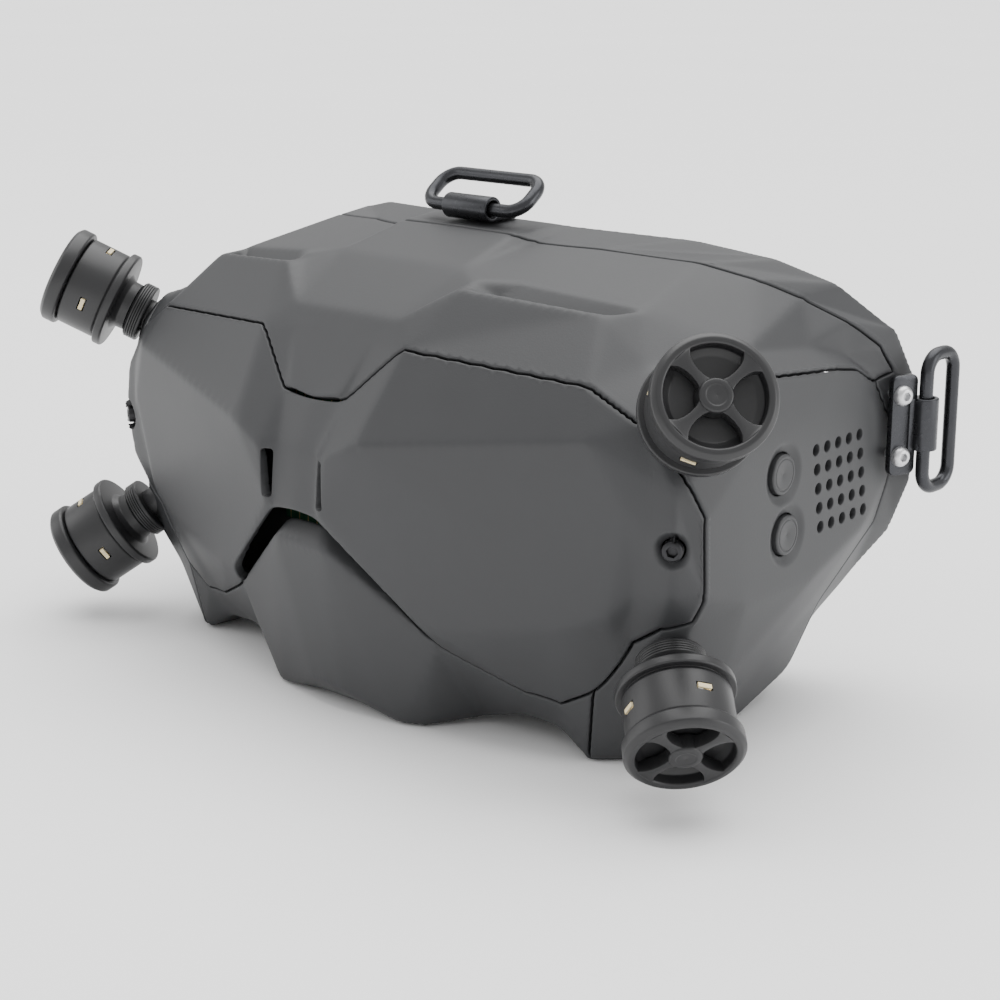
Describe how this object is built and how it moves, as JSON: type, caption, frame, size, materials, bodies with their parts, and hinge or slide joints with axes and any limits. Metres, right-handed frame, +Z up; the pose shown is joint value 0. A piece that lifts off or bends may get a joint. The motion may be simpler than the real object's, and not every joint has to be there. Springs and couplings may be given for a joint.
{
  "type": "fpv goggles",
  "caption": "Head-worn video goggles for remote flying: faceted eye covers, brow and chin shells, foam-lined face frame, sliding eyepieces, screw-on antennas and wire strap loops.",
  "frame": {"origin": "middle of the bounding box on the surface that the goggles stand on", "axes": "+Z up, the eye covers face -Y, +X is the wearer's left side"},
  "size_m": [0.2272, 0.119, 0.1188],
  "materials": {
    "housing": "fine-grained soft matte, charcoal",
    "face_foam": "short-pile foam cloth, black",
    "shroud": "matte black",
    "antenna_shell": "satin black",
    "antenna_board": "resin board with gilded pads",
    "black_screw": "blackened socket screw",
    "button": "smooth matte, charcoal",
    "black_plastic": "smooth black",
    "strap_metal": "dark gunmetal, satin",
    "bright_screw": "bright button head",
    "lens": "coated eyepiece lens",
    "display": "dark display glass",
    "rail_steel": "ground rod",
    "circuit_board": "green solder resist",
    "heat_sink": "cast fins"
  },
  "bodies": {
    "shell": {"front_cover": "housing", "top_shell": "housing", "lower_shell": "housing", "side_cover_right": "housing", "side_cover_left": "housing", "face_frame": "housing", "face_foam": "face_foam", "eye_shroud": "shroud", "antenna_jack_upper_right": "antenna_shell", "antenna_jack_upper_left": "antenna_shell", "antenna_jack_lower_right": "antenna_shell", "antenna_jack_lower_left": "antenna_shell", "cover_screw_right": "black_screw", "cover_screw_left": "black_screw", "socket_block": "black_plastic", "strap_bracket_right": "strap_metal", "strap_bracket_left": "strap_metal", "strap_bracket_top": "strap_metal", "bracket_screw_right_lower": "bright_screw", "bracket_screw_right_upper": "bright_screw", "bracket_screw_left_lower": "bright_screw", "bracket_screw_left_upper": "bright_screw", "ipd_rail": "rail_steel", "main_board": "circuit_board", "radio_board": "circuit_board", "heat_sink": "heat_sink", "fan_housing": "black_plastic"},
    "antenna_upper_right": {"antenna_body_upper_right": "antenna_shell", "antenna_board_upper_right": "antenna_board", "antenna_cap_upper_right": "antenna_shell"},
    "antenna_upper_left": {"antenna_body_upper_left": "antenna_shell", "antenna_board_upper_left": "antenna_board", "antenna_cap_upper_left": "antenna_shell"},
    "antenna_lower_right": {"antenna_body_lower_right": "antenna_shell", "antenna_board_lower_right": "antenna_board", "antenna_cap_lower_right": "antenna_shell"},
    "antenna_lower_left": {"antenna_body_lower_left": "antenna_shell", "antenna_board_lower_left": "antenna_board", "antenna_cap_lower_left": "antenna_shell"},
    "loop_top": {"strap_loop_top": "strap_metal"},
    "loop_right": {"strap_loop_right": "strap_metal"},
    "loop_left": {"strap_loop_left": "strap_metal"},
    "channel_up_key": {"channel_button_up": "button"},
    "channel_down_key": {"channel_button_down": "button"},
    "five_way_key": {"five_way_button": "button"},
    "back_key": {"back_button": "button"},
    "record_key": {"record_button": "button"},
    "eyepiece_right": {"lens_barrel_right": "black_plastic", "eyepiece_lens_right": "lens", "display_panel_right": "display", "ipd_knob_right": "black_plastic"},
    "eyepiece_left": {"lens_barrel_left": "black_plastic", "eyepiece_lens_left": "lens", "display_panel_left": "display", "ipd_knob_left": "black_plastic"},
    "fan": {"fan_impeller": "black_plastic"}
  },
  "joints": [
    {"name": "antenna_upper_right_turn", "type": "hinge", "parent": "shell", "child": "antenna_upper_right", "pos_m": [0.105, -0.04375, 0.0891], "axis": [0.6919, -0.5715, 0.4412], "continuous": true},
    {"name": "antenna_upper_left_turn", "type": "hinge", "parent": "shell", "child": "antenna_upper_left", "pos_m": [-0.105, -0.04375, 0.0891], "axis": [-0.6919, -0.5715, 0.4412], "continuous": true},
    {"name": "antenna_lower_right_turn", "type": "hinge", "parent": "shell", "child": "antenna_lower_right", "pos_m": [0.1015, -0.04585, 0.0152], "axis": [0.6198, -0.5499, -0.5599], "continuous": true},
    {"name": "antenna_lower_left_turn", "type": "hinge", "parent": "shell", "child": "antenna_lower_left", "pos_m": [-0.1015, -0.04585, 0.0152], "axis": [-0.6198, -0.5499, -0.5599], "continuous": true},
    {"name": "loop_top_swing", "type": "hinge", "parent": "shell", "child": "loop_top", "pos_m": [0, -0.00145, 0.111], "axis": [1, 0, 0], "range_deg": [-33, 95]},
    {"name": "loop_right_swing", "type": "hinge", "parent": "shell", "child": "loop_right", "pos_m": [0.0946, 0.04755, 0.066], "axis": [0, 0, 1], "range_deg": [-95, 8]},
    {"name": "loop_left_swing", "type": "hinge", "parent": "shell", "child": "loop_left", "pos_m": [-0.0946, 0.04755, 0.066], "axis": [0, 0, 1], "range_deg": [-8, 95]},
    {"name": "channel_up_press", "type": "slide", "parent": "shell", "child": "channel_up_key", "axis": [-1, 0, 0], "range_m": [0, 0.0006], "stiffness_N_per_m": 900},
    {"name": "channel_down_press", "type": "slide", "parent": "shell", "child": "channel_down_key", "axis": [-1, 0, 0], "range_m": [0, 0.0006], "stiffness_N_per_m": 900},
    {"name": "five_way_press", "type": "slide", "parent": "shell", "child": "five_way_key", "axis": [1, 0, 0], "range_m": [0, 0.0006], "stiffness_N_per_m": 900},
    {"name": "back_press", "type": "slide", "parent": "shell", "child": "back_key", "axis": [1, 0, 0], "range_m": [0, 0.0006], "stiffness_N_per_m": 900},
    {"name": "record_press", "type": "slide", "parent": "shell", "child": "record_key", "axis": [1, 0, 0], "range_m": [0, 0.0006], "stiffness_N_per_m": 900},
    {"name": "eyepiece_right_slide", "type": "slide", "parent": "shell", "child": "eyepiece_right", "axis": [1, 0, 0], "range_m": [-0.003, 0.003]},
    {"name": "eyepiece_left_slide", "type": "slide", "parent": "shell", "child": "eyepiece_left", "axis": [-1, 0, 0], "range_m": [-0.003, 0.003]},
    {"name": "fan_spin", "type": "hinge", "parent": "shell", "child": "fan", "pos_m": [0.0796, 0.02155, 0.0572], "axis": [1, 0, 0], "continuous": true}
  ]
}
